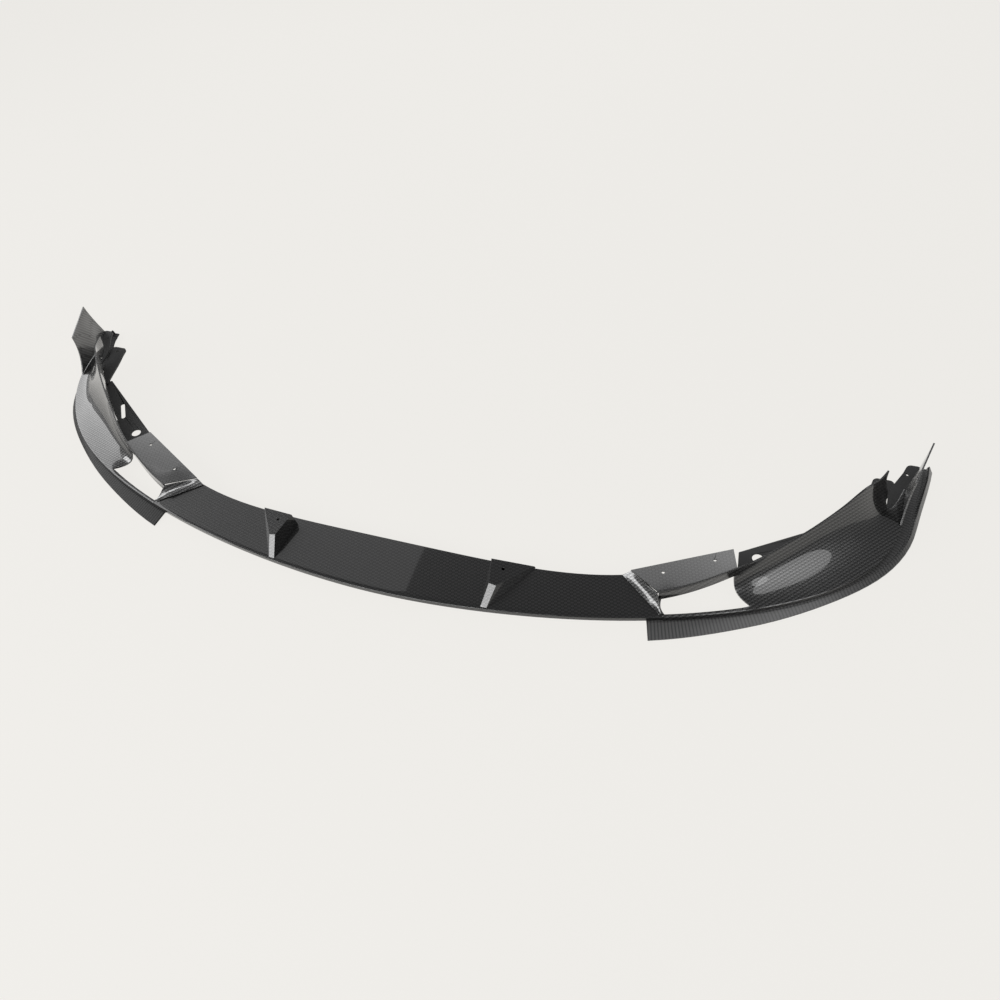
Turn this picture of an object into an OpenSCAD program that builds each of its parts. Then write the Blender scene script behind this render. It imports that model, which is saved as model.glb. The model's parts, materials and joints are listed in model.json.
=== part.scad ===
// Front splitter lip for a sports car, laid up in carbon fibre.
// A thin centre blade, two corner risers and two swept side shells form the lip.
// Millimetres, +Z up, the nose faces -Y, and the lip rests on its two lower strips.
// Plan positions are worked out from the nose backwards and centred at the end.

/* [Overall] */
// Depth from the nose to the rear ends of the lower strips
overall_d = 543; // [520:1:570]
// Half width of the leading edge where it turns towards the wheel arch
corner_x = 886; // [840:1:930]
// Distance behind the nose where the corner curve ends
corner_y = 388; // [350:1:430]
// Toe-out of the leading edge along the wheel arch
corner_toe = 7; // [0:1:25]
// Length of the flat run of the nose on each side of the centre
nose_run = 345; // [280:1:400]
// Reach of the corner curve behind the nose
corner_reach = 130; // [90:1:170]
// Height of the leading edge above the ground
edge_z = 25; // [22:0.5:34]
// Rise of the leading edge towards the rear ends
edge_rise = 30; // [10:1:45]
// Length of the climb in front of the corner's end
climb_front = 148; // [120:1:180]
// Length of the climb behind the corner's end
climb_rear = 70; // [50:1:90]
// Length of the side shells behind the corner's end
shell_tail = 52; // [46:1:58]

/* [Laminate] */
// Wall of the moulded shells
wall = 3; // [2.4:0.1:4]
// Glue line between bonded pieces
bond = 0.3; // [0.2:0.05:0.5]
// Height of the bead along the leading edge
bead_h = 1.6; // [0.5:0.1:2.5]
// Distance of the bead's middle inside the leading edge
bead_at = 3; // [2.5:0.1:3.5]
// Half width of the bead
bead_half = 2; // [1.5:0.1:2.5]
// Height of the rolled nose below the leading edge
nose_h = 12; // [10:0.1:13]
// Radius of the rolled nose
nose_radius = 1.6; // [1:0.1:2.4]
// Depth of the rim under the leading edge at its rear end
rear_rim = 4.8; // [4:0.1:7]

/* [Centre blade] */
// Blade depth at the centre
blade_d_mid = 111; // [90:1:130]
// Rear edge behind the nose at the risers
blade_rear_y = 143; // [130:1:160]
// Half width of the blade at its rear edge
blade_rear_x = 431; // [400:1:460]
// Half width of the blade at its front edge
blade_tip_x = 514; // [490:1:540]
// Rise of the blade from front to rear
blade_rise = 6; // [0:0.5:14]

/* [Screw ribs] */
// Inner side of a rib from the centre at its rear
rib_x = 199; // [150:1:250]
// Width of the rib over its rear edge
rib_w = 78; // [60:1:95]
// Distance of the ridge foot behind the leading edge
rib_foot_y = 3; // [1:0.5:10]
// Length of the sloping front ridge
rib_ridge_l = 34; // [25:1:45]
// Width of the front ridge at its foot
ridge_w = 11; // [8:1:14]
// Width of the front ridge at its top
ridge_top_w = 13; // [8:1:18]
// Inset of the front ridge from the rib's inner side
ridge_inset = 6; // [2:1:10]
// Lean of the front ridge towards the rib's outer side
ridge_lean = 7; // [3:1:10]
// Spread of the inner side at its foot
rib_spread = 4; // [0:1:8]
// Draft of the sides at the top
rib_draft = 2; // [0:0.5:4]
// Height of the top face above the ground at its inner side
rib_top_z = 57; // [50:0.5:66]
// Tilt of the top face down towards the side
rib_tilt = 16; // [8:0.5:18]
// Inner rear corner of the rib behind the nose
rib_rear_in = 100; // [94:1:104]
// Outer rear corner of the rib behind the nose
rib_rear_out = 117; // [108:1:120]
// Screw hole across the rib from its inner side
rib_hole_in = 27; // [18:1:34]
// Screw hole in front of the rib's rear edge
rib_hole_back = 18; // [12:1:24]
// Radius of every screw hole
screw_r = 2.8; // [2:0.1:3.5]

/* [Corner risers] */
// Width of the riser's foot on the end of the blade
riser_foot = 3; // [2:0.5:6]
// Hollow of the riser's face
riser_hollow = 2; // [0:0.25:4]
// Thickness left at the riser's foot
riser_edge = 1.2; // [0.8:0.1:2]

/* [Side shells] */
// Floor width at the riser
floor_w_1 = 35; // [28:1:44]
// Floor width a fifth of the way back
floor_w_2 = 55; // [46:1:66]
// Floor width two fifths of the way back
floor_w_3 = 80; // [66:1:90]
// Floor width three fifths of the way back
floor_w_4 = 87; // [74:1:96]
// Floor width four fifths of the way back
floor_w_5 = 76; // [64:1:88]
// Floor width at the rear end
floor_w_6 = 40; // [34:1:50]
// Wall height at the riser
wall_h_1 = 25; // [20:1:32]
// Wall height a fifth of the way back
wall_h_2 = 48; // [38:1:56]
// Wall height two fifths of the way back
wall_h_3 = 65; // [54:1:76]
// Wall height three fifths of the way back
wall_h_4 = 83; // [70:1:92]
// Wall height four fifths of the way back
wall_h_5 = 84; // [72:1:94]
// Wall height at the rear end
wall_h_6 = 56; // [46:1:64]
// Squareness of the section at the riser
square_front = 5.5; // [3:0.1:7]
// Squareness of the section at the rear end
square_rear = 2.2; // [2:0.1:3.5]
// Width of the bar in front of the air opening
bar_w = 6.5; // [6:0.5:12]
// Share of the shell's length that the air opening takes
window_share = 0.19; // [0.12:0.01:0.26]
// Share of the shell's length where the wall is cut away over the floor
seam_share = 0.83; // [0.78:0.01:0.92]

/* [Screw flange] */
// Inner end of the flange's rear edge from the centre plane
flange_in_x = 443; // [436:1:452]
// Inner end of the flange's rear edge behind the nose
flange_in_y = 146; // [140:1:154]
// Outer end of the flange's rear edge from the centre plane
flange_out_x = 607; // [600:1:612]
// Outer end of the flange's rear edge behind the nose
flange_out_y = 232; // [226:1:236]
// Height of the flange above the ground at the inner end of its rear edge
flange_z = 46; // [42:0.5:48]
// Rise of the flange's rear edge to its outer end
flange_rise = 5; // [0:0.5:12]
// Inner screw hole along the rear edge from its inner end
flange_hole_1 = 52; // [40:1:64]
// Outer screw hole along the rear edge from its inner end
flange_hole_2 = 144; // [132:1:156]
// Setback of the screw holes in front of the rear edge
flange_hole_back = 20; // [16:1:30]

/* [Inner flange] */
// Front end of the flange's free edge from the centre plane
inner_start_x = 617; // [613:1:622]
// Front end of the flange's free edge behind the nose
inner_start_y = 238; // [234:1:243]
// Rear end of the flange's free edge from the centre plane
inner_end_x = 803; // [790:1:812]
// Rear end of the flange's free edge behind the nose
inner_end_y = 365; // [356:1:374]
// Height of the inner flange above the ground
inner_z = 37; // [34:0.5:41]
// Radius of the round locating hole
locator_r = 10; // [6:0.5:11]
// Locating hole along the free edge from the flange's front end
locator_at = 25; // [18:1:32]
// Setback of the locating hole from the free edge
locator_back = 23; // [16:1:28]
// Distance between the centres of the slot's ends
slot_l = 40; // [20:1:46]
// Radius of the slot's ends
slot_r = 4.5; // [2.5:0.5:6]
// Middle of the slot along the free edge from the flange's front end
slot_at = 111; // [95:1:125]
// Setback of the slot from the free edge
slot_back = 19; // [14:1:30]
// Turn of the slot, which runs along the wall in front of it
slot_turn = 54; // [48:1:60]

/* [Wheel arch tabs] */
// Width of the upper tab
upper_tab_w = 27; // [22:1:32]
// Rear end of the upper tab behind the nose
upper_tab_y = 503; // [498:1:510]
// Length of the upper tab
upper_tab_l = 112; // [90:1:130]
// Setback of the upper tab's root inside the leading edge
upper_inset = 17; // [15:1:20]
// Reach of the upper tab's middle line past the leading edge at its rear end
upper_reach = 9; // [5:1:12]
// Width of the lower tab
lower_tab_w = 38; // [28:1:42]
// Width of the lower tab at its root
lower_root_w = 20; // [16:1:26]
// Length of the lower tab
lower_tab_l = 117; // [105:1:125]
// Rear end of the lower tab's middle line from the centre plane
lower_tab_x = 849; // [842:1:852]
// Setback of the lower tab's root from the line of the wall
lower_gap = 9.5; // [8:0.5:16]
// Rear end of the lower tab behind the nose
lower_tab_y = 468; // [456:1:474]
// Height of the upper tab above the ground at its rear end
tab_z = 54; // [52:0.5:57]
// Thickness of the tabs
tab_t = 4; // [3:0.1:5]
// Setback of the screw holes from the rear ends of the tabs
tab_hole_back = 14; // [10:1:20]
// Extra setback of the upper tab's hole
upper_hole_back = 10; // [4:1:16]
// Inset of the upper tab's hole from its middle line
upper_hole_in = 5; // [2:0.5:6]
// Radius of the tabs' corners
tab_corner = 9; // [5:0.5:12]

/* [End fins] */
// Height of the fin's tip above the ground
fin_tip_z = 144; // [120:1:165]
// Height of the fin's front shoulder above the ground
fin_shoulder_z = 127; // [100:1:140]
// Distance of the fin's front foot behind the nose
fin_foot_y = 362; // [350:1:372]
// Distance of the fin's front shoulder behind the nose
fin_shoulder_y = 391; // [380:1:402]
// Distance of the fin's tip behind the nose
fin_tip_y = 478; // [465:1:490]
// Distance of the fin's rear foot behind the nose
fin_rear_y = 499; // [494:1:503]
// Lean of the fin's tip away from the lip
fin_lean = 16; // [6:1:24]
// Inset of the fin's foot from the leading edge along the lip
fin_inset = 4.5; // [3.5:0.5:6]
// Reach of the fin's foot past the leading edge at its rear end
fin_flare = 17; // [10:1:24]

/* [Lower strips] */
// Front end of the strip from the centre plane
strip_x = 488; // [480:1:500]
// Reach of the skirt in front of the leading edge at its front end
skirt_1 = 31; // [24:1:36]
// Reach of the skirt a fifth of the way back
skirt_2 = 19; // [14:1:26]
// Reach of the skirt two fifths of the way back
skirt_3 = 11; // [9:1:18]
// Reach of the skirt three fifths of the way back
skirt_4 = 19; // [14:1:28]
// Reach of the skirt four fifths of the way back
skirt_5 = 36; // [30:1:46]
// Reach of the skirt at its rear end
skirt_6 = 53; // [46:1:64]
// Height of the strip's rear end above the ground
skirt_rear_z = 19; // [14:1:26]
// Width of the strip's land inside the leading edge
land_w = 10; // [8:0.5:14]
// Thickness of the skirt's lower edge
skirt_edge = 2.6; // [2:0.1:3.5]
// Reach of the skirt's shoulder at its front end
shoulder_front = 2.5; // [1.5:0.1:3.5]
// Distance of the skirt's shoulder from its lower edge at the rear end
shoulder_rear = 9; // [7:0.5:12]
// Width of the land behind the shoulder at the rear end
tail_w = 15; // [12:0.5:18]

/* [Middle blades] */
// Thickness of the middle blade
middle_t = 2.5; // [2:0.1:3]
// Reach of the middle blade halfway back
middle_reach_mid = 8; // [4:1:16]
// Reach of the middle blade at its rear end
middle_reach_rear = 35; // [28:1:38]
// Distance from the strip's front end to the middle blade's front end
middle_inset = 6; // [4:1:10]
// Setback of the middle blade's rear end from the strip's rear end
middle_setback = 14; // [10:1:20]
// Width of the middle blade at its rear end
middle_tail_w = 12; // [8:1:16]

/* [Hidden] */
gloss_carbon = [0.22, 0.22, 0.23];
strip_carbon = [0.30, 0.30, 0.31];
matt_black = [0.09, 0.09, 0.09];
$fn = 48;

// A smooth step from 0 to 1
function ease(a) = let (c = max(0, min(1, a))) c * c * (3 - 2 * c);
function mix(a, b, s) = a + (b - a) * s;

// A smooth curve through evenly spaced values, read at a share from 0 to 1
function through(v, s) =
    let (n = len(v) - 1, p = max(0, min(n - 0.0001, s * n)), i = floor(p), f = p - i,
         a = v[max(0, i - 1)], b = v[i], c = v[i + 1], d = v[min(n, i + 2)])
    b + f * ((c - a) / 2 + f * (a - 2.5 * b + 2 * c - d / 2 + f * ((d - a) / 2 + 1.5 * (b - c))));

// The leading edge in plan: one cubic curve, carried on straight past its end
edge_a = [0, 0];
edge_b = [nose_run, 0];
edge_c = [corner_x - corner_toe, corner_reach];
edge_d = [corner_x, corner_y];
function edge(t) = t > 1
    ? edge_d + 3 * (t - 1) * (edge_d - edge_c)
    : edge_a * pow(1 - t, 3) + 3 * edge_b * t * pow(1 - t, 2)
      + 3 * edge_c * t * t * (1 - t) + edge_d * t * t * t;

// Unit normal of the leading edge, out of the lip
function out(t) = let (e = 0.002, d = edge(t + e) - edge(t - e)) [d.y, -d.x] / norm(d);

// Curve parameter where the leading edge passes a half width or a depth
function t_at_x(x, lo = 0, hi = 1, n = 22) = n == 0 ? (lo + hi) / 2
    : let (m = (lo + hi) / 2) edge(m).x < x ? t_at_x(x, m, hi, n - 1) : t_at_x(x, lo, m, n - 1);
function t_at_y(y, lo = 0, hi = 2, n = 24) = n == 0 ? (lo + hi) / 2
    : let (m = (lo + hi) / 2) edge(m).y < y ? t_at_y(y, m, hi, n - 1) : t_at_y(y, lo, m, n - 1);

// Height of the leading edge, which climbs along the wheel arch
function lead_z(t) = edge_z + edge_rise * ease((edge(t).y - corner_y + climb_front)
                                               / (climb_front + climb_rear));

// A point at an offset out of the leading edge and a height
function beside(t, o, z) = let (p = edge(t) + out(t) * o) [p.x, p.y, z];

// A grid moved away from its face along the surface normals
function shifted(g, t) = let (n = len(g) - 1, m = len(g[0]) - 1)
    [for (i = [0 : n]) [for (j = [0 : m])
        let (u = g[min(n, i + 1)][j] - g[max(0, i - 1)][j],
             v = g[i][min(m, j + 1)] - g[i][max(0, j - 1)],
             c = cross(u, v))
        g[i][j] - c / norm(c) * t]];
function dropped(g, t) = [for (r = g) [for (p = r) p - [0, 0, t]]];

// A closed sheet between two grids of points, made of the cells that keep lets through
module sheet(top, bottom, keep = function(i, j) true) {
    rows = len(top);
    cols = len(top[0]);
    low = rows * cols;
    function id(i, j) = i * cols + j;
    function kept(i, j) = i >= 0 && j >= 0 && i < rows - 1 && j < cols - 1 && keep(i, j);
    function rim(a, b) = [[low + a, a, b], [low + b, low + a, b]];
    polyhedron(concat([for (r = top) each r], [for (r = bottom) each r]),
        [for (i = [0 : rows - 2], j = [0 : cols - 2]) if (kept(i, j))
            let (a = id(i, j), b = id(i + 1, j), c = id(i + 1, j + 1), d = id(i, j + 1))
            each concat(
                [[c, b, a], [d, c, a]],
                [[low + b, low + c, low + a], [low + c, low + d, low + a]],
                kept(i, j - 1) ? [] : rim(a, b),
                kept(i + 1, j) ? [] : rim(b, c),
                kept(i, j + 1) ? [] : rim(c, d),
                kept(i - 1, j) ? [] : rim(d, a))]);
}

// Centre blade

blade_rows = 44;
blade_cuts = [0, 0.006, 0.025, 0.06, 0.1, 0.5, 1];
rear_power = 4.2;
nose_share = 0.06;
function rear_y(x) = mix(blade_d_mid, blade_rear_y, pow(abs(x) / blade_rear_x, rear_power));
function blade_xy(s, v) = let (x = s * mix(blade_tip_x, blade_rear_x, v))
    [x, mix(edge(t_at_x(abs(x))).y, rear_y(x), v)];
// The rolled nose is rounded at its front and thins to the blade's wall behind
function nose_round(v) = nose_radius * pow(1 - min(1, v / nose_share), 2);
function blade_top(v) = edge_z + blade_rise * v - nose_round(v);
function blade_low(v) = mix(edge_z - nose_h, edge_z + blade_rise * v - wall,
                            ease((v - nose_share) / 0.04)) + nose_round(v);
function blade_grid(z) = [for (i = [0 : blade_rows]) let (s = 2 * i / blade_rows - 1)
    [for (v = blade_cuts) let (p = blade_xy(s, v)) [p.x, p.y, z(v)]]];

module centre_blade() {
    color(gloss_carbon)
        sheet(blade_grid(function(v) blade_top(v)), blade_grid(function(v) blade_low(v)));
}

// Screw ribs: hollow wedges bonded on the blade, with a screw hole in the top face

rib_front = edge(t_at_x(rib_x + ridge_w)).y + rib_foot_y;
function rib_top(x) = rib_top_z - tan(rib_tilt) * (x - rib_x);
function blade_z_at(x, y) = let (f = edge(t_at_x(x)).y)
    edge_z + blade_rise * (y - f) / (rear_y(x) - f);
rib_hole_x = rib_x + rib_hole_in;
rib_hole_y = mix(rib_rear_in, rib_rear_out, rib_hole_in / rib_w) - rib_hole_back;
// Corners of the foot and of the top face, from the ridge round to the inner rear corner
function rib_foot(g) = [
    [rib_x + ridge_inset + g, rib_front + g],
    [rib_x + ridge_inset + ridge_w - g, rib_front + g],
    [rib_x + rib_w - g, rib_rear_out - g], [rib_x - rib_spread + g, rib_rear_in - g]];
function rib_roof(g) = [
    [rib_x + ridge_inset + ridge_lean + g, rib_front + rib_ridge_l + g],
    [rib_x + ridge_inset + ridge_lean + ridge_top_w - g, rib_front + rib_ridge_l + g],
    [rib_x + rib_w - rib_draft - 2 * g, rib_rear_out - g],
    [rib_x + rib_draft + g, rib_rear_in - g]];

// The wedge drawn in by g all round, with its foot lowered by sink
module rib_wedge(g, sink) {
    foot = [for (p = rib_foot(g)) [p.x, p.y, blade_z_at(p.x, p.y) + bond - sink]];
    roof = [for (p = rib_roof(g)) [p.x, p.y, rib_top(p.x) - g]];
    polyhedron(concat(foot, roof), [
        [0, 1, 2], [0, 2, 3], [4, 6, 5], [4, 7, 6],
        [0, 4, 5], [0, 5, 1], [1, 5, 6], [1, 6, 2], [2, 6, 7], [2, 7, 3], [3, 7, 4], [3, 4, 0]]);
}

module screw_rib() {
    color(gloss_carbon) difference() {
        rib_wedge(0, 0);
        rib_wedge(wall, wall);
        translate([rib_hole_x, rib_hole_y, rib_top_z / 2]) cylinder(r = screw_r, h = rib_top_z);
    }
}

// Side shells: floor, rounded corner and wall in one moulding

shell_rows = 36;
window_row = 9;
shell_cols = 12;
bar_col = 3;
floor_col = 7;
foot_col = 8;
shell_from = t_at_x(blade_tip_x + bond);
shell_to = t_at_y(corner_y + shell_tail);
function share_t(q) = mix(shell_from, shell_to, q);
function floor_w(q) = through([floor_w_1, floor_w_2, floor_w_3, floor_w_4, floor_w_5,
                               floor_w_6], q);
function wall_h(q) = through([wall_h_1, wall_h_2, wall_h_3, wall_h_4, wall_h_5, wall_h_6], q);
function square(q) = mix(square_front, square_rear, max(0, min(1, q)));

// The section is a quarter of a rounded square, read from 0 at the leading edge
// through 1 at its corner to 2 at the crest
function corner_of(n) = pow(0.5, 1 / n);
function up(s, n) = s < 1 ? 1 - pow(1 - pow(s * corner_of(n), n), 1 / n)
                          : mix(1 - corner_of(n), 1, s - 1);
function across(s, n) = s < 1 ? s * corner_of(n) : pow(1 - pow(1 - up(s, n), n), 1 / n);

// The opening reaches up into the wall, and higher towards its rear edge
function foot_s(q) = 1.12 + 0.42 * window_fade(q);
function bar_s(q) = bar_w / (floor_w(q) * corner_of(square(q)));
function col_s(j, q) = j <= bar_col ? bar_s(q) * [0, 0.3, 0.6, 1][j]
    : j <= floor_col ? mix(bar_s(q), 1, (j - bar_col) / (floor_col - bar_col))
    : mix(foot_s(q), 2, [0, 0.3, 0.62, 1][j - foot_col]);

// Rows: a closing strip at the riser, the opening, then the shell up to its rear end
closing_share = 0.008;
function row_q(i) = i == 0 ? 0
    : i <= window_row ? mix(closing_share, window_share, (i - 1) / (window_row - 1))
    : mix(window_share, 1, (i - window_row) / (shell_rows - window_row));

// The rows lean to follow the riser, the opening's rear edge and the cut of the wall
riser_lean = 0.012;
window_lean = 0.04;
crest_cut = 0.035;
foot_cut = 0.05;
function window_fade(q) = q < window_share ? q / window_share
                                           : max(0, 1 - (q - window_share) / 0.3);
function rear_cut(s) = s < 1 ? ease((s - 0.3) / 0.25) * mix(1 - seam_share, foot_cut,
                                                            max(0, (s - 0.55) / 0.45))
                             : mix(foot_cut, crest_cut, s - 1);
function shell_q(q, s) = let (a = across(s, square(q)))
    q - riser_lean * sin(144 * a) * max(0, 1 - q / window_share)
      + window_lean * pow(1 - a, 2) * window_fade(q)
      - rear_cut(s) * ease((q - 0.5) / 0.5);

function bead(d) = bead_h * exp(-pow((d - bead_at) / bead_half, 2));
function floor_z(q) = lead_z(share_t(q)) - bead_h;
function shell_point(q, s) = let (n = square(q), d = floor_w(q) * across(s, n))
    beside(share_t(q), -d, floor_z(q) + bead(d) + wall_h(q) * up(s, n));
shell_top = [for (i = [0 : shell_rows]) let (q = row_q(i))
    [for (j = [0 : shell_cols - 1]) let (s = col_s(j, q)) shell_point(shell_q(q, s), s)]];

// The rim under the leading edge is deep at the nose and shallow at the rear
function rim_depth(q) = mix(nose_h, rear_rim, ease(q));
function rim_low(q, k) = lead_z(share_t(q)) - mix(rim_depth(q), bead_h + wall, k);
shell_back = shifted(shell_top, wall);
shell_low = [for (i = [0 : shell_rows]) let (q = row_q(i))
    [for (j = [0 : shell_cols - 1]) let (p = shell_top[i][j])
        j > bar_col ? shell_back[i][j]
                    : [p.x, p.y, rim_low(shell_q(q, col_s(j, q)), [0, 0, 0.4, 0.8][j])]]];

module side_shell() {
    color(gloss_carbon) sheet(shell_top, shell_low,
        function(i, j) i < 1 || i >= window_row || j < bar_col || j >= foot_col);
}

// Back of the shell's section: distance inside the leading edge and height
function back(q, s) = let (e = 0.01, n = square(q), w = floor_w(q), h = wall_h(q),
        dd = w * (across(s + e, n) - across(s - e, n)),
        dz = h * (up(s + e, n) - up(s - e, n)), l = norm([dd, dz]))
    [w * across(s, n) + wall * dz / l, floor_z(q) + h * up(s, n) - wall * dd / l];
function back_at(q, z, lo = 0.1, hi = 1.95, k = 14) = k == 0 ? back(q, lo).x
    : let (m = (lo + hi) / 2) back(q, m).y < z ? back_at(q, z, m, hi, k - 1)
                                               : back_at(q, z, lo, m, k - 1);

// Screw flange: from the crest of the wall down to a straight rear edge

flange_rows = 12;
flange_in = [flange_in_x, flange_in_y];
flange_out = [flange_out_x, flange_out_y];
function crest(q) = shell_point(q, 2);
crest_start = shell_q(0, 2);
crest_end = window_share + 0.005;
lap = wall + 1;
end_a = [blade_rear_x, blade_rear_y];
end_b = [blade_tip_x, edge(t_at_x(blade_tip_x)).y];
riser_dir = (end_b - end_a) / norm(end_b - end_a);
riser_side = [-riser_dir.y, riser_dir.x];
// Front end of the ridge that carries the flange's inner end
ridge_end = [crest(crest_start).x, crest(crest_start).y] - riser_side * lap;
ridge_end_z = crest(crest_start).z + bond;

function flange_point(i, j) =
    let (f = i / flange_rows, q = mix(crest_start, crest_end, f), c = crest(q),
         front = i == 0 ? ridge_end : [c.x, c.y],
         flat = front - out(share_t(q)) * lap,
         rear = mix(flange_in, flange_out, f),
         zf = c.z + bond + wall, zr = flange_z + flange_rise * f,
         p = j == 0 ? front : mix(flat, rear, (j - 1) / 3))
    [p.x, p.y, j == 0 ? zf : mix(zf, zr, (j - 1) / 3)];
flange_top = [for (i = [0 : flange_rows]) [for (j = [0 : 4]) flange_point(i, j)]];
flange_dir = (flange_out - flange_in) / norm(flange_out - flange_in);
flange_front = [flange_dir.y, -flange_dir.x];

module screw_flange() {
    color(gloss_carbon) difference() {
        sheet(flange_top, dropped(flange_top, wall));
        for (a = [flange_hole_1, flange_hole_2]) {
            p = flange_in + flange_dir * a + flange_front * flange_hole_back;
            translate([p.x, p.y, flange_z - 5 * wall]) cylinder(r = screw_r, h = 15 * wall);
        }
    }
}

// Corner riser: a hollow ramp from the end of the blade up to the flange

riser_rows = 12;
riser_end = 0.93;
ridge_share = 0.72;
function riser_ground(r) = edge_z + blade_rise * (1 - r) + bond;
function riser_base(r) = let (p = mix(end_a, end_b, r) - riser_side * riser_foot)
    [p.x, p.y, riser_ground(r) + riser_edge];
function riser_crest(r) = let (f = (r - ridge_share) / (riser_end - ridge_share),
        tip = mix(end_a, end_b, riser_end) + riser_side,
        p = f < 0 ? mix(flange_in, ridge_end, r / ridge_share) : mix(ridge_end, tip, f),
        z0 = mix(flange_z - wall, ridge_end_z, min(1, r / ridge_share)) - bond,
        low = riser_ground(r) + 1.5 * riser_edge)
    [p.x, p.y, mix(low, z0, pow(1 - max(0, f), 1.6))];
riser_top = [for (i = [0 : riser_rows]) let (r = riser_end * i / riser_rows)
    [for (u = [0, 0.2, 0.4, 0.6, 0.8, 1])
        let (s = riser_hollow * sin(180 * u) * sin(180 * min(0.9, r)))
        mix(riser_base(r), riser_crest(r), u) + [riser_side.x, riser_side.y, -1] * s]];
riser_back = shifted(riser_top, wall);
riser_low = [for (i = [0 : riser_rows]) let (g = riser_ground(riser_end * i / riser_rows))
    [for (p = riser_back[i]) [p.x, p.y, max(p.z, g)]]];

module corner_riser() {
    color(gloss_carbon) sheet(riser_top, riser_low);
}

// Inner flange: a flat matt plate behind the wall, with a locating hole and a slot

inner_rows = 18;
inner_from = window_share + 0.012;
inner_to = 0.78;
inner_a = [inner_start_x, inner_start_y];
inner_b = [inner_end_x, inner_end_y];
inner_dir = (inner_b - inner_a) / norm(inner_b - inner_a);
inner_front = [inner_dir.y, -inner_dir.x];
function wall_foot(q) = beside(share_t(q), -back_at(q, inner_z) - 2 * bond, 0);
function on_inner(a, b) = inner_a + inner_dir * a + inner_front * b;

module inner_flange() {
    outline = concat(
        [for (i = [0 : inner_rows]) let (p = wall_foot(mix(inner_from, inner_to, i / inner_rows)))
            [p.x, p.y]],
        [inner_b, inner_a]);
    locator = on_inner(locator_at, locator_back);
    slot = on_inner(slot_at, slot_back);
    color(matt_black) translate([0, 0, inner_z - wall]) difference() {
        linear_extrude(wall) polygon(outline);
        translate([locator.x, locator.y, -wall]) cylinder(r = locator_r, h = 3 * wall);
        translate([slot.x, slot.y, -wall]) rotate([0, 0, slot_turn]) {
            for (e = [-1, 1]) translate([e * slot_l / 2, 0, 0]) cylinder(r = slot_r, h = 3 * wall);
            translate([-slot_l / 2, -slot_r, 0]) cube([slot_l, 2 * slot_r, 3 * wall]);
        }
    }
}

// Wheel arch tabs

tab_rows = 14;
floor_end_y = edge(shell_to).y;
// Half width along a tab: square at its root, rounded at its rear end
function tab_half(y, end, w, r) = w / 2 - (y > end - r ? r - sqrt(max(0, r * r
                                                                - pow(y - end + r, 2))) : 0);
function tab_y(a, from, end) = a < 0.5 ? mix(from, end - tab_corner, a / 0.5)
                                       : end - tab_corner * (1 - sin(180 * (a - 0.5)));

upper_root = upper_tab_y - upper_tab_l;
// Length over which the upper tab swings out and climbs to its rear end
upper_bend = 0.7 * upper_tab_l;
function upper_x(y) = edge(t_at_y(y)).x
    + mix(-upper_inset, upper_reach, ease((y - upper_tab_y) / upper_bend + 1));
function q_of(t) = (t - shell_from) / (shell_to - shell_from);
function under_rim(y) = let (t = t_at_y(y)) lead_z(t) - rim_depth(min(1, q_of(t))) - bond;
function upper_z(y) = y < floor_end_y ? under_rim(y)
    : mix(under_rim(floor_end_y), tab_z, ease((y - floor_end_y) / (0.85 * (upper_tab_y - floor_end_y))));
upper_top = [for (i = [0 : tab_rows]) let (y = tab_y(i / tab_rows, upper_root, upper_tab_y),
        h = tab_half(y, upper_tab_y, upper_tab_w, tab_corner))
    [for (s = [1, 0, -1]) [upper_x(y) + s * h, y, upper_z(y)]]];

module upper_arch_tab() {
    hole_y = upper_tab_y - tab_hole_back - upper_hole_back;
    color(matt_black) difference() {
        sheet(upper_top, dropped(upper_top, tab_t));
        translate([upper_x(hole_y) - upper_hole_in, hole_y, tab_z - 5 * tab_t])
            cylinder(r = screw_r, h = 10 * tab_t);
    }
}

lower_root = lower_tab_y - lower_tab_l;
lower_z = inner_z + bond + tab_t;
// The middle line runs in along the wheel arch to a root beside the wall's back
function wall_x(y) = let (a = t_at_y(y), t = t_at_y(y + out(a).y * back_at(q_of(a), lower_z)))
    beside(t, -back_at(q_of(t), lower_z), 0).x;
lower_root_x = wall_x(lower_root) - lower_gap - lower_root_w / 2;
function bend(a) = 10 * ease(0.75 * a) + ease(2 * a);
function lower_mid(y) = mix(lower_tab_x, lower_root_x, bend((lower_tab_y - y) / lower_tab_l) / bend(1));
function lower_half(y) = mix(lower_root_w, lower_tab_w, ease((y - lower_root) / (0.77 * lower_tab_l))) / 2;
lower_top = [for (i = [0 : tab_rows]) let (y = tab_y(i / tab_rows, lower_root, lower_tab_y),
        h = tab_half(y, lower_tab_y, 2 * lower_half(y), tab_corner))
    [for (s = [1, -1]) [lower_mid(y) + s * h, y, lower_z]]];

module lower_arch_tab() {
    hole_y = lower_tab_y - tab_hole_back;
    color(matt_black) difference() {
        sheet(lower_top, dropped(lower_top, tab_t));
        translate([lower_mid(hole_y), hole_y, lower_z - 2 * tab_t])
            cylinder(r = screw_r, h = 4 * tab_t);
    }
}

// End fin: stands on the leading edge at the wheel arch and leans out to its tip

fin_rows = 12;
fin_cols = 7;
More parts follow.
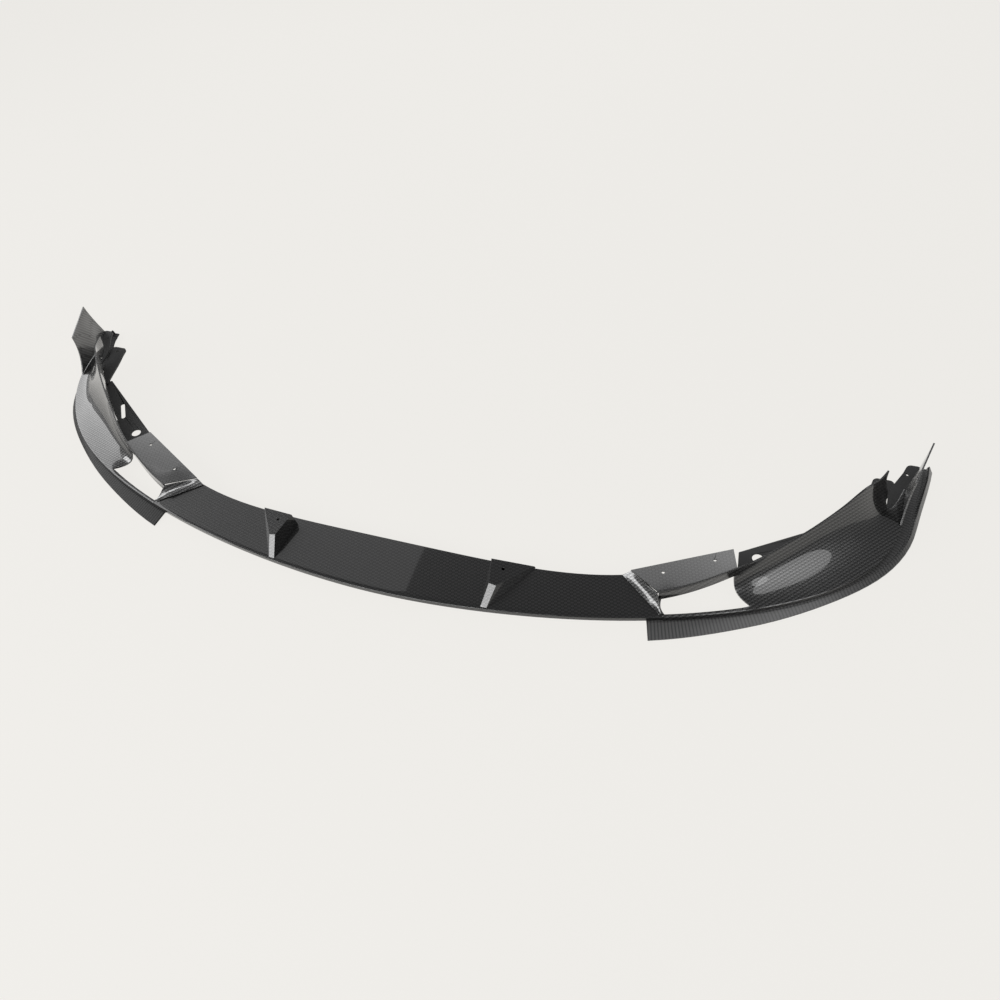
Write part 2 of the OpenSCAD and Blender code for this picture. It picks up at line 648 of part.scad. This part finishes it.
// The fin's foot swings out from the end of the side shell to its rear foot
function fin_base(y) = let (t = t_at_y(y), l = fin_rear_y - floor_end_y)
    beside(t, mix(-fin_inset, fin_flare, ease(((y - floor_end_y) / l + 0.2) / 1.27)),
           min(lead_z(t), tab_z) + bond);
function fin_crest(a) = let (y = mix(fin_shoulder_y, fin_tip_y, a))
    beside(t_at_y(y), mix(-fin_inset, fin_lean, a), mix(fin_shoulder_z, fin_tip_z, a));
function fin_point(a, c) = let (b = fin_base(mix(fin_foot_y, fin_rear_y, a)), e = fin_crest(a),
        g = 1 - pow(1 - c, mix(2.2, 1.3, a)))
    [mix(b.x, e.x, c), mix(b.y, e.y, g), mix(b.z, e.z, c)];
fin_in = [for (i = [0 : fin_rows]) [for (j = [0 : fin_cols])
    fin_point(i / fin_rows, j / fin_cols)]];
fin_out = [for (r = fin_in) [for (p = r) p + [wall, 0, 0]]];

module end_fin() {
    color(gloss_carbon) sheet(fin_out, fin_in);
}

// Middle blade, bonded under the leading edge

under_rows = 28;
middle_from = t_at_x(strip_x + middle_inset);
middle_to = t_at_y(overall_d - middle_setback);
middle_z = edge_z - nose_h - bond;
land_z = middle_z - middle_t - bond;
// The blade stays behind the leading edge at first and then reaches out past it
middle_hidden = 1;
function middle_reach(r) = through([-middle_hidden, -middle_hidden, middle_reach_mid / 4, middle_reach_mid,
                                    mix(middle_reach_mid, middle_reach_rear, 0.45),
                                    middle_reach_rear], r);
function tail(t, t_end) = ease((t - t_end + 0.17) / 0.17);
middle_top = [for (i = [0 : under_rows]) let (r = i / under_rows, t = mix(middle_from, middle_to, r),
        o = middle_reach(r), inner = mix(-land_w, o - middle_tail_w, tail(t, middle_to)))
    [for (p = [o, mix(o, inner, 1 / 3), inner]) beside(t, p, middle_z)]];

module middle_blade() {
    color(strip_carbon) sheet(middle_top, dropped(middle_top, middle_t));
}

// Lower strip: a skirt that slants out to the ground from a land under the leading edge

strip_rows = 32;
strip_from = t_at_x(strip_x);
strip_to = t_at_y(overall_d - out(1.2).y * (skirt_6 - shoulder_rear - tail_w));
function skirt(r) = through([skirt_1, skirt_2, skirt_3, skirt_4, skirt_5, skirt_6], r);
function shoulder(r) = mix(shoulder_front, skirt_6 - shoulder_rear, ease((r - 0.42) / 0.58));
function strip_point(i, j, low) = let (r = i / strip_rows, t = mix(strip_from, strip_to, r),
        o = skirt(r), b = min(o - 2.7 * skirt_edge, shoulder(r)),
        zb = mix(land_z, skirt_rear_z, ease((r - 0.62) / 0.38)),
        inner = mix(-land_w, b - tail_w, tail(t, strip_to)),
        foot = [o - skirt_edge, 0], under = [b - skirt_edge, zb - wall], lip = [o, skirt_edge],
        p = low ? [[o, 0], foot, mix(foot, under, 0.5), under,
                   [b - 2 * wall + 1, land_z - wall], [inner, land_z - wall]][j]
                : [lip, mix(lip, [b, zb], 0.06), mix(lip, [b, zb], 0.5),
                   [b, zb], [b - wall, land_z], [inner, land_z]][j])
    beside(t, p.x, p.y);
function strip_grid(low) = [for (i = [0 : strip_rows]) [for (j = [0 : 5]) strip_point(i, j, low)]];

module lower_strip() {
    color(strip_carbon) sheet(strip_grid(false), strip_grid(true));
}

// Assembly: every piece sits in one frame, and the left side mirrors the right

module in_frame() { translate([0, -overall_d / 2, 0]) children(); }
module left() { in_frame() mirror([1, 0, 0]) children(); }

in_frame() centre_blade();
left() screw_rib();  // screw_rib_left
in_frame() screw_rib();  // screw_rib_right
left() corner_riser();  // corner_riser_left
in_frame() corner_riser();  // corner_riser_right
left() side_shell();  // side_shell_left
in_frame() side_shell();  // side_shell_right
left() screw_flange();  // screw_flange_left
in_frame() screw_flange();  // screw_flange_right
left() inner_flange();  // inner_flange_left
in_frame() inner_flange();  // inner_flange_right
left() upper_arch_tab();  // upper_arch_tab_left
in_frame() upper_arch_tab();  // upper_arch_tab_right
left() lower_arch_tab();  // lower_arch_tab_left
in_frame() lower_arch_tab();  // lower_arch_tab_right
left() end_fin();  // end_fin_left
in_frame() end_fin();  // end_fin_right
left() middle_blade();  // middle_blade_left
in_frame() middle_blade();  // middle_blade_right
left() lower_strip();  // lower_strip_left
in_frame() lower_strip();  // lower_strip_right
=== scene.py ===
# %% [markdown]
# # A carbon fibre front splitter lip
# The lip is a set of thin laminate mouldings that are bonded to one another: a blade
# across the nose, risers and swept shells at the corners, flanges that screw to the
# bumper, fins at the wheel arches, and strips below. The shapes come from the packed
# part. This lesson gives them their surfaces: clear-coated cloth, satin strips and raw
# matt laminate, with the fine rounded edges that catch the light.

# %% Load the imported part
import json
import math

import bmesh
import bpy
from mathutils import Matrix, Vector

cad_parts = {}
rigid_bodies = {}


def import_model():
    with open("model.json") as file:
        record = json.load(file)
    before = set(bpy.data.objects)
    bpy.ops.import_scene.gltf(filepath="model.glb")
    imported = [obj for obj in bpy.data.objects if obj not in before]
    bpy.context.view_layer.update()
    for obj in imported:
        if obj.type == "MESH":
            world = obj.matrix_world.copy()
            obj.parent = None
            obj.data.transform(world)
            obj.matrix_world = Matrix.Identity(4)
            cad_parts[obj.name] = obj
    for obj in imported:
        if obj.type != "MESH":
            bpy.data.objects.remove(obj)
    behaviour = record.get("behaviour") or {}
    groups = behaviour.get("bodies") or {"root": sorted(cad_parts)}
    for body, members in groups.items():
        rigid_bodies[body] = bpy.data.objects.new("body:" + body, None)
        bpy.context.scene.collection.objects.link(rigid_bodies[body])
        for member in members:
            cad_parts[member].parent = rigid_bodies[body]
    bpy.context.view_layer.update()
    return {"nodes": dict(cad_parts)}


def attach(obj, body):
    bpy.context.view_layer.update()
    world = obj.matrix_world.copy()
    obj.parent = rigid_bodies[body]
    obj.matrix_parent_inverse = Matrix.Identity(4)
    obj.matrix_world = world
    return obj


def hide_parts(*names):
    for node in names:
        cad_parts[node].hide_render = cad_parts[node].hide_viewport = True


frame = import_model()
print(len(frame["nodes"]), "mouldings loaded")

# %% [markdown]
# ## Small helpers for node trees
# A finish is a tree of nodes. Writing each node out takes several lines, so three short
# helpers add a node, fill its inputs and hand it back, or its output. Numbers go straight on
# a socket.

# %% Helpers that add nodes


def put(tree, kind, *inputs, **settings):
    """Adds a node, sets its options and fills its inputs in order."""
    node = tree.nodes.new(kind)
    for name, value in settings.items():
        setattr(node, name, value)
    for socket, value in zip(node.inputs, inputs):
        if isinstance(value, bpy.types.NodeSocket):
            tree.links.new(value, socket)
        elif value is not None:
            socket.default_value = value
    return node


def calc(tree, operation, *inputs):
    """One step of arithmetic; gives its result's socket."""
    return put(tree, "ShaderNodeMath", *inputs, operation=operation).outputs[0]


def blend(tree, share, first, second):
    """Mixes two colours or two numbers by a share from 0 to 1."""
    colour = isinstance(first, tuple)
    node = tree.nodes.new("ShaderNodeMix")
    node.data_type = "RGBA" if colour else "FLOAT"
    # Colours have other sockets than numbers: the share, both inputs and the output
    slots = (0, 6, 7, 2) if colour else (0, 2, 3, 0)
    for place, value in zip(slots, (share, first, second)):
        if isinstance(value, bpy.types.NodeSocket):
            tree.links.new(value, node.inputs[place])
        else:
            node.inputs[place].default_value = value
    return node.outputs[slots[3]]


def grey(level):
    return (level, level, level, 1.0)


# %% [markdown]
# ## The cloth under the clear coat
# Carbon cloth is woven from flat tows. Here each tow passes over one and under the next,
# so the tows on top lie like the fields of a chess board, and the eye joins them into
# two sets of slanting lines. The pattern is worked out from Object coordinates: which tow
# lies on top decides the tone, and the distance from its middle gives its rounded height.
# On the walls the cloth would be drawn out into stripes, so each place is looked up further
# back by a share of its height. That lays the same cloth over floor and wall in one sweep.

# %% The woven pattern
LONG_TOW = 0.0057
SHORT_TOW = 0.0036
# The cloth's turn in degrees, and the share of a place's height by which it is looked up
# further back
CLOTH_TURN = 17.0
CLOTH_LEAN = 0.75
GRAIN_DEPTH = 0.0002


def cloth_place(tree):
    """Two coordinates along the cloth, in tows."""
    coords = tree.nodes.new("ShaderNodeTexCoord")
    x, y, z = put(tree, "ShaderNodeSeparateXYZ", coords.outputs["Object"]).outputs
    y = calc(tree, "MULTIPLY_ADD", z, CLOTH_LEAN, y)
    c, s = math.cos(math.radians(CLOTH_TURN)), math.sin(math.radians(CLOTH_TURN))
    along = calc(tree, "ADD", calc(tree, "MULTIPLY", x, c), calc(tree, "MULTIPLY", y, s))
    across = calc(tree, "SUBTRACT", calc(tree, "MULTIPLY", y, c), calc(tree, "MULTIPLY", x, s))
    return calc(tree, "DIVIDE", along, LONG_TOW), calc(tree, "DIVIDE", across, SHORT_TOW)


def tow_height(tree, along):
    """Rounded section of a tow: 1 on its middle line and 0 at its edges."""
    off = calc(tree, "SUBTRACT", calc(tree, "FRACT", along), 0.5)
    return calc(tree, "SUBTRACT", 1.0, calc(tree, "MULTIPLY", calc(tree, "MULTIPLY", off, off), 4.0))


def weave(tree):
    """Gives which tow is on top, 0 or 1, the height of its surface, and slanting bands."""
    along, across = cloth_place(tree)
    fields = calc(tree, "ADD", calc(tree, "FLOOR", along), calc(tree, "FLOOR", across))
    top = calc(tree, "FLOORED_MODULO", fields, 2.0)
    height = blend(tree, top, tow_height(tree, along), tow_height(tree, across))
    slope = calc(tree, "MULTIPLY", calc(tree, "SUBTRACT", along, across), math.pi)
    slant = calc(tree, "MULTIPLY_ADD", calc(tree, "SINE", slope), 0.5, 0.5)
    return top, height, slant


# %% [markdown]
# ## Three finishes
# The mouldings on show have a smooth clear coat over the cloth. The coat is a second,
# polished layer on the shader, and the cloth below it is rougher and follows the bump of
# the tows. The strips are satin, with lines across them. The flanges and tabs that the
# bumper hides are raw laminate, matt black with a faint grain.

# %% Finish: clear-coated cloth


def new_finish(name):
    """A material with an empty tree, its shader and its output."""
    material = bpy.data.materials.new(name)
    material.use_nodes = True
    tree = material.node_tree
    tree.nodes.clear()
    shader = tree.nodes.new("ShaderNodeBsdfPrincipled")
    out = tree.nodes.new("ShaderNodeOutputMaterial")
    tree.links.new(shader.outputs[0], out.inputs[0])
    return material, tree, shader


def coated_cloth(name, warp, weft, roughness=0.36, coat_roughness=0.03, ridges=0.0,
                 tow_edge_shade=0.35):
    """Woven tows that gleam like brushed metal, under a polished clear coat.

    Ridges is the share of the slanting bands in the tone. The tows are painted darker towards
    their edges, as painted shade in the grooves between them, and the last argument is how light the
    edges stay beside the middles.
    """
    material, tree, shader = new_finish(name)
    top, height, slant = weave(tree)
    tone = blend(tree, blend(tree, ridges, top, slant), grey(weft), grey(warp))
    # The tows are painted darker towards their edges: painted shade in the grooves between them
    groove_shade = blend(tree, height, grey(tow_edge_shade), grey(1.0))
    shaded = tree.nodes.new("ShaderNodeMix")
    shaded.data_type, shaded.blend_type = "RGBA", "MULTIPLY"
    shaded.inputs[0].default_value = 1.0
    tree.links.new(tone, shaded.inputs[6])
    tree.links.new(groove_shade, shaded.inputs[7])
    tree.links.new(shaded.outputs[2], shader.inputs["Base Color"])
    bump = tree.nodes.new("ShaderNodeBump")
    bump.inputs["Strength"].default_value = 0.25
    bump.inputs["Distance"].default_value = GRAIN_DEPTH
    tree.links.new(height, bump.inputs["Height"])
    tree.links.new(bump.outputs[0], shader.inputs["Normal"])
    shader.inputs["Roughness"].default_value = roughness
    shader.inputs["Metallic"].default_value = 1.0
    shader.inputs["Coat Weight"].default_value = 1.0
    shader.inputs["Coat Roughness"].default_value = coat_roughness
    return material


blade_cloth = coated_cloth("blade_cloth", 0.034, 0.018, tow_edge_shade=0.65)
shell_cloth = coated_cloth("shell_cloth", 0.110, 0.012, ridges=0.6)
flange_cloth = coated_cloth("flange_cloth", 0.062, 0.044, roughness=0.5, coat_roughness=0.13)
fin_cloth = coated_cloth("fin_cloth", 0.180, 0.120, roughness=0.5, coat_roughness=0.10)
print("tows", LONG_TOW * 1000, "by", SHORT_TOW * 1000, "mm")

# %% Finish: satin strips with lines across
STRIP_MIDDLE = (0.36, 0.30)
STRIP_RADIUS = 0.52
STRIP_TOW = 0.0058


def strip_finish(name, side, gloss, light):
    """Cloth whose tows run across the strip, round the middle of its curve."""
    material, tree, shader = new_finish(name)
    coords = tree.nodes.new("ShaderNodeTexCoord")
    x, y, _ = put(tree, "ShaderNodeSeparateXYZ", coords.outputs["Object"]).outputs
    across = calc(tree, "SUBTRACT", x, STRIP_MIDDLE[0] * side)
    back = calc(tree, "SUBTRACT", y, STRIP_MIDDLE[1])
    angle = calc(tree, "ARCTAN2", across, back)
    lines = calc(tree, "MULTIPLY", angle, STRIP_RADIUS / STRIP_TOW)
    height = tow_height(tree, lines)
    tone = blend(tree, height, grey(light * 0.2), grey(light))
    tree.links.new(tone, shader.inputs["Base Color"])
    shader.inputs["Roughness"].default_value = 0.38
    shader.inputs["Specular IOR Level"].default_value = gloss
    shader.inputs["Coat Weight"].default_value = gloss
    shader.inputs["Coat Roughness"].default_value = 0.22
    return material


# The left strips get a darker, duller copy of the satin: painted shade, as the left side lies in
# shade
strip_finishes = {"left": strip_finish("strip_cloth_left_painted_shade", -1, 0.08, 0.024),
                  "right": strip_finish("strip_cloth_right", 1, 0.32, 0.050)}
print(len(strip_finishes), "strip finishes, with tows of", STRIP_TOW * 1000, "mm")

# %% Finish: raw matt laminate


def raw_laminate(name, level):
    material, tree, shader = new_finish(name)
    coords = tree.nodes.new("ShaderNodeTexCoord")
    grain = put(tree, "ShaderNodeTexNoise", coords.outputs["Object"])
    grain.inputs["Scale"].default_value = 420.0
    grain.inputs["Detail"].default_value = 3.0
    tone = blend(tree, grain.outputs[0], grey(level * 0.6), grey(level * 1.4))
    tree.links.new(tone, shader.inputs["Base Color"])
    bump = tree.nodes.new("ShaderNodeBump")
    bump.inputs["Strength"].default_value = 0.2
    bump.inputs["Distance"].default_value = GRAIN_DEPTH
    tree.links.new(grain.outputs[0], bump.inputs["Height"])
    tree.links.new(bump.outputs[0], shader.inputs["Normal"])
    shader.inputs["Roughness"].default_value = 0.62
    return material


matt_laminate = raw_laminate("matt_laminate", 0.012)
print("raw finish", matt_laminate.name)

# %% [markdown]
# ## Dressing the mouldings
# A packed moulding is a bag of loose triangles, so its facets would show in the clear
# coat. A copy is merged into one skin, its triangles become four-sided faces again, and
# its sharp rims get a small rounded edge, as a moulding has after trimming and polishing.
# The copy then stands for the imported node, which stays in the collision model, hidden.

# %% Helpers that copy and round a moulding
# The angle in degrees from which an edge counts as sharp, on most pieces and on the ribs
SHARP = 48.0
RIDGE = 22.0


def only(obj):
    """Selects one object and nothing else."""
    bpy.ops.object.select_all(action="DESELECT")
    obj.select_set(True)
    bpy.context.view_layer.objects.active = obj


def skin_of(node, name):
    """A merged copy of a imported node."""
    piece = frame["nodes"][node].copy()
    piece.data = piece.data.copy()
    piece.name = piece.data.name = name
    for key in [k for k in piece.keys() if k.startswith("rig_")]:
        del piece[key]
    piece.parent = None
    bpy.context.scene.collection.objects.link(piece)
    only(piece)
    bpy.ops.object.mode_set(mode="EDIT")
    bpy.ops.mesh.select_all(action="SELECT")
    bpy.ops.mesh.remove_doubles(threshold=0.00002)
    bpy.ops.mesh.tris_convert_to_quads(face_threshold=math.radians(30),
                                       shape_threshold=math.radians(60))
    bpy.ops.object.mode_set(mode="OBJECT")
    return piece


def round_edges(piece, width, angle):
    """Small rounded rims, with the flat faces kept flat in the reflections."""
    rim = piece.modifiers.new("rim", "BEVEL")
    rim.width, rim.segments = width, 2
    rim.limit_method, rim.angle_limit = "ANGLE", math.radians(angle)
    even = piece.modifiers.new("even", "WEIGHTED_NORMAL")
    even.keep_sharp = False
    only(piece)
    bpy.ops.object.shade_smooth()
    for modifier in ("rim", "even"):
        bpy.ops.object.modifier_apply(modifier=modifier)


def dress(node, finish, width=0.0005, shape=None, angle=SHARP):
    """Copies, rounds and paints one moulding; gives the piece that stands for it."""
    piece = skin_of(node, node + "_skin")
    if shape:
        shape(piece)
    round_edges(piece, width, angle)
    piece.data.materials.clear()
    piece.data.materials.append(finish)
    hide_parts(node)
    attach(piece, "root")
    return piece


# %% [markdown]
# ## Softer corners inside the shells
# Cloth can't be pressed into a tight corner, so on the real lip the floor of a shell sweeps
# up into its wall in one broad dish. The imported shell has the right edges, but few faces
# across that corner. Its copy is divided once with the rims held sharp, and then the points
# on its inner face are smoothed, while the rims and the outer side stay where they are. The
# smoothing starts outboard and each stage reaches further in, so the dish fades out towards
# the air opening. Each stage is the distance from the middle where it starts, and how many
# times it smooths.

# %% Sweep the shell's floor up into its wall
# Points above the foot are the start, the reach is how many rings of faces join them, and
# behind the end nothing is smoothed
CORNER_FOOT = 0.032
DISH_REACH = 9
DISH_END = 0.17
DISH_STAGES = ((0.72, 110), (0.67, 80), (0.60, 90))


def pick(piece, test):
    """Selects the points of a mesh in edit mode that pass a test of place."""
    mesh = bmesh.from_edit_mesh(piece.data)
    for point in mesh.verts:
        point.select = test(point)
    mesh.select_flush_mode()
    bmesh.update_edit_mesh(piece.data)
    return sum(point.select for point in mesh.verts)


def on_rim(point):
    """True where the sheet has an edge, or a sharp fold, at the point."""
    return any(edge.calc_face_angle(math.pi) > math.radians(SHARP) for edge in point.link_edges)


def dish(piece):
    """Turns the tight corner inside a shell into a broad dish."""
    only(piece)
    bpy.ops.object.mode_set(mode="EDIT")
    bpy.ops.mesh.select_mode(type="EDGE")
    bpy.ops.mesh.select_all(action="DESELECT")
    bpy.ops.mesh.edges_select_sharp(sharpness=math.radians(SHARP))
    bpy.ops.transform.edge_crease(value=1.0)
    bpy.ops.object.mode_set(mode="OBJECT")
    finer = piece.modifiers.new("finer", "SUBSURF")
    finer.levels = finer.render_levels = 1
    bpy.ops.object.modifier_apply(modifier="finer")
    bpy.ops.object.mode_set(mode="EDIT")
    bpy.ops.mesh.select_mode(type="VERT")
    bpy.ops.mesh.select_all(action="DESELECT")
    outboard = 1.0 if piece.name.endswith("right_skin") else -1.0
    inside = Vector((0.5 * outboard, -0.6, 0.6))
    found = pick(piece, lambda v: v.co.z > CORNER_FOOT and v.normal.dot(inside) > 0)
    for _ in range(DISH_REACH):
        bpy.ops.mesh.select_more()
    kept = pick(piece, lambda v: v.select and v.co.y < DISH_END and v.normal.dot(inside) > 0
                and not on_rim(v))
    dished = {v.index for v in bmesh.from_edit_mesh(piece.data).verts if v.select}
    for start, passes in DISH_STAGES:
        pick(piece, lambda v: v.index in dished and v.co.x * outboard > start)
        bpy.ops.mesh.vertices_smooth(factor=0.5, repeat=passes)
    bpy.ops.object.mode_set(mode="OBJECT")
    print(piece.name, found, "corner points,", kept, "smoothed,", len(piece.data.polygons), "faces")


# %% [markdown]
# ## The glossy mouldings
# Blade, ribs, risers, shells, flanges and fins share the clear-coated cloth. The cloth of
# the shells has more contrast, and the screw flanges show hardly any weave. The ribs have
# shallow ridges, so even their flat angles get a rounded edge and the faces between stay
# flat.

# %% Dress the clear-coated mouldings
glossy = [dress("centre_blade", blade_cloth, width=0.0012)]
for side in ("left", "right"):
    for kind, finish, shape, angle in (("screw_rib", blade_cloth, None, RIDGE),
                                       ("corner_riser", shell_cloth, None, SHARP),
                                       ("side_shell", shell_cloth, dish, SHARP),
                                       ("screw_flange", flange_cloth, None, SHARP),
                                       ("end_fin", fin_cloth, None, SHARP)):
        glossy.append(dress(kind + "_" + side, finish, shape=shape, angle=angle))
print(len(glossy), "clear-coated pieces")

# %% [markdown]
# ## The strips and the matt pieces
# The lower strips and middle blades are satin. The picture shows the left ones nearly black,
# so they get a darker, duller copy of the satin: painted shade, as the left side lies in
# shade. The inner flanges and the tabs lie behind the bumper once the lip is fitted, so they stay
# raw laminate.

# %% Dress the strips and the matt laminate
satin, matt = [], []
for side in ("left", "right"):
    for kind in ("middle_blade", "lower_strip"):
        satin.append(dress(kind + "_" + side, strip_finishes[side], width=0.0004))
    for kind in ("inner_flange", "upper_arch_tab", "lower_arch_tab"):
        matt.append(dress(kind + "_" + side, matt_laminate, width=0.0006))
print(len(satin), "satin pieces and", len(matt), "matt ones")

# %% [markdown]
# ## The studio
# The lip lies on a pale floor. Polished black shows mostly what it reflects, so the lamps
# are large soft boxes: one on the left, which the left shell mirrors, one behind for the
# screw flanges, two round ones beside the right shell, a long one in front for the left ridge
# and the risers, a small one in front for the right ridge, and a wide dim one overhead. To
# the camera the floor is nearly all an even glow of its own, as in the picture, and a small
# share stays lit paper.

# %% Floor and surroundings
PAPER = (0.847, 0.831, 0.799, 1.0)
EVEN_SHARE = 0.97


def seen(tree):
    """1 for rays from the camera, from gloss and through glass."""
    path = tree.nodes.new("ShaderNodeLightPath")
    rays = calc(tree, "MAXIMUM", path.outputs["Is Camera Ray"], path.outputs["Is Glossy Ray"])
    return calc(tree, "MAXIMUM", rays, path.outputs["Is Transmission Ray"])


bpy.ops.object.select_all(action="DESELECT")
bpy.ops.mesh.primitive_plane_add(size=40.0, location=(0, 0, -0.0008))
floor = bpy.context.object
floor.name = "studio_floor"
paper = bpy.data.materials.new("studio_paper")
paper.use_nodes = True
tree = paper.node_tree
tree.nodes.clear()
matte = put(tree, "ShaderNodeBsdfDiffuse", (0.80, 0.786, 0.758, 1.0))
glow = put(tree, "ShaderNodeEmission", PAPER, 1.0)
mixed = put(tree, "ShaderNodeMixShader", calc(tree, "MULTIPLY", seen(tree), EVEN_SHARE),
            matte.outputs[0], glow.outputs[0])
put(tree, "ShaderNodeOutputMaterial", mixed.outputs[0])
floor.data.materials.append(paper)
print("floor", round(floor.dimensions.x), "m wide")

world = bpy.data.worlds.new("studio_air")
bpy.context.scene.world = world
world.use_nodes = True
tree = world.node_tree
tree.nodes.clear()
path = tree.nodes.new("ShaderNodeLightPath")
air = put(tree, "ShaderNodeBackground", (0.94, 0.94, 0.95, 1.0), 0.34)
back = put(tree, "ShaderNodeBackground", PAPER, 1.0)
both = put(tree, "ShaderNodeMixShader", path.outputs["Is Camera Ray"], air.outputs[0],
           back.outputs[0])
put(tree, "ShaderNodeOutputWorld", both.outputs[0])

# %% Soft boxes


def soft_box(name, place, aim, width, height, glow, shape="RECTANGLE"):
    """An area lamp whose face has the given brightness, where 1 is paper white."""
    data = bpy.data.lights.new(name, "AREA")
    data.shape, data.size, data.size_y = shape, width, height
    area = width * height * (math.pi / 4 if shape == "ELLIPSE" else 1.0)
    data.energy = glow * area * math.pi
    lamp = bpy.data.objects.new(name, data)
    lamp.location = place
    lamp.rotation_euler = (Vector(aim) - Vector(place)).to_track_quat("-Z", "Y").to_euler()
    lamp.visible_camera = False
    bpy.context.scene.collection.objects.link(lamp)


soft_box("overhead_box", (-1.72, 0.95, 2.4), (-1.72, 0.95, 0.0), 1.75, 1.2, 0.58)
soft_box("left_box", (-2.35, 0.15, 1.0), (-0.7, 0.0, 0.1), 1.5, 1.5, 2.6)
soft_box("rear_box", (-0.4, 2.1, 1.35), (0.1, 0.0, 0.1), 2.9, 2.2, 1.6)
soft_box("round_box", (1.35, -0.42, 0.86), (0.70, -0.07, 0.04), 0.56, 1.50, 2.3, "ELLIPSE")
soft_box("small_round_box", (1.20, -0.62, 0.66), (0.66, -0.09, 0.04), 0.26, 0.60, 2.4, "ELLIPSE")
soft_box("front_box", (-1.1, -1.65, 1.2), (-0.3, -0.2, 0.0), 2.6, 1.1, 8.0)
soft_box("ridge_box", (0.21, -1.33, 1.06), (0.21, -0.24, 0.04), 0.5, 0.4, 8.0)

# %% [markdown]
# ## The camera
# The picture looks down on the lip from the right of its nose, with the frame rolled a
# little, so the camera is aimed at a point just above the floor and then rolled about its
# line of sight.

# %% Camera
EYE = Vector((0.5785, -0.9822, 1.2841))
TARGET = Vector((0.1652, -0.0180, 0.0290))
ROLL = -6.9
camera_data = bpy.data.cameras.new("view")
camera_data.lens, camera_data.sensor_width = 30.6, 36.0
camera_data.clip_start, camera_data.clip_end = 0.05, 60.0
camera = bpy.data.objects.new("view", camera_data)
look = (TARGET - EYE).to_track_quat("-Z", "Y").to_matrix()
turn = Matrix.Rotation(math.radians(ROLL), 3, "Z")
camera.rotation_euler = (look @ turn).to_euler()
camera.location = EYE
bpy.context.scene.collection.objects.link(camera)
bpy.context.scene.camera = camera
bpy.context.scene.view_settings.view_transform = "Standard"
print("lens", camera_data.lens, "mm, roll", ROLL, "degrees")
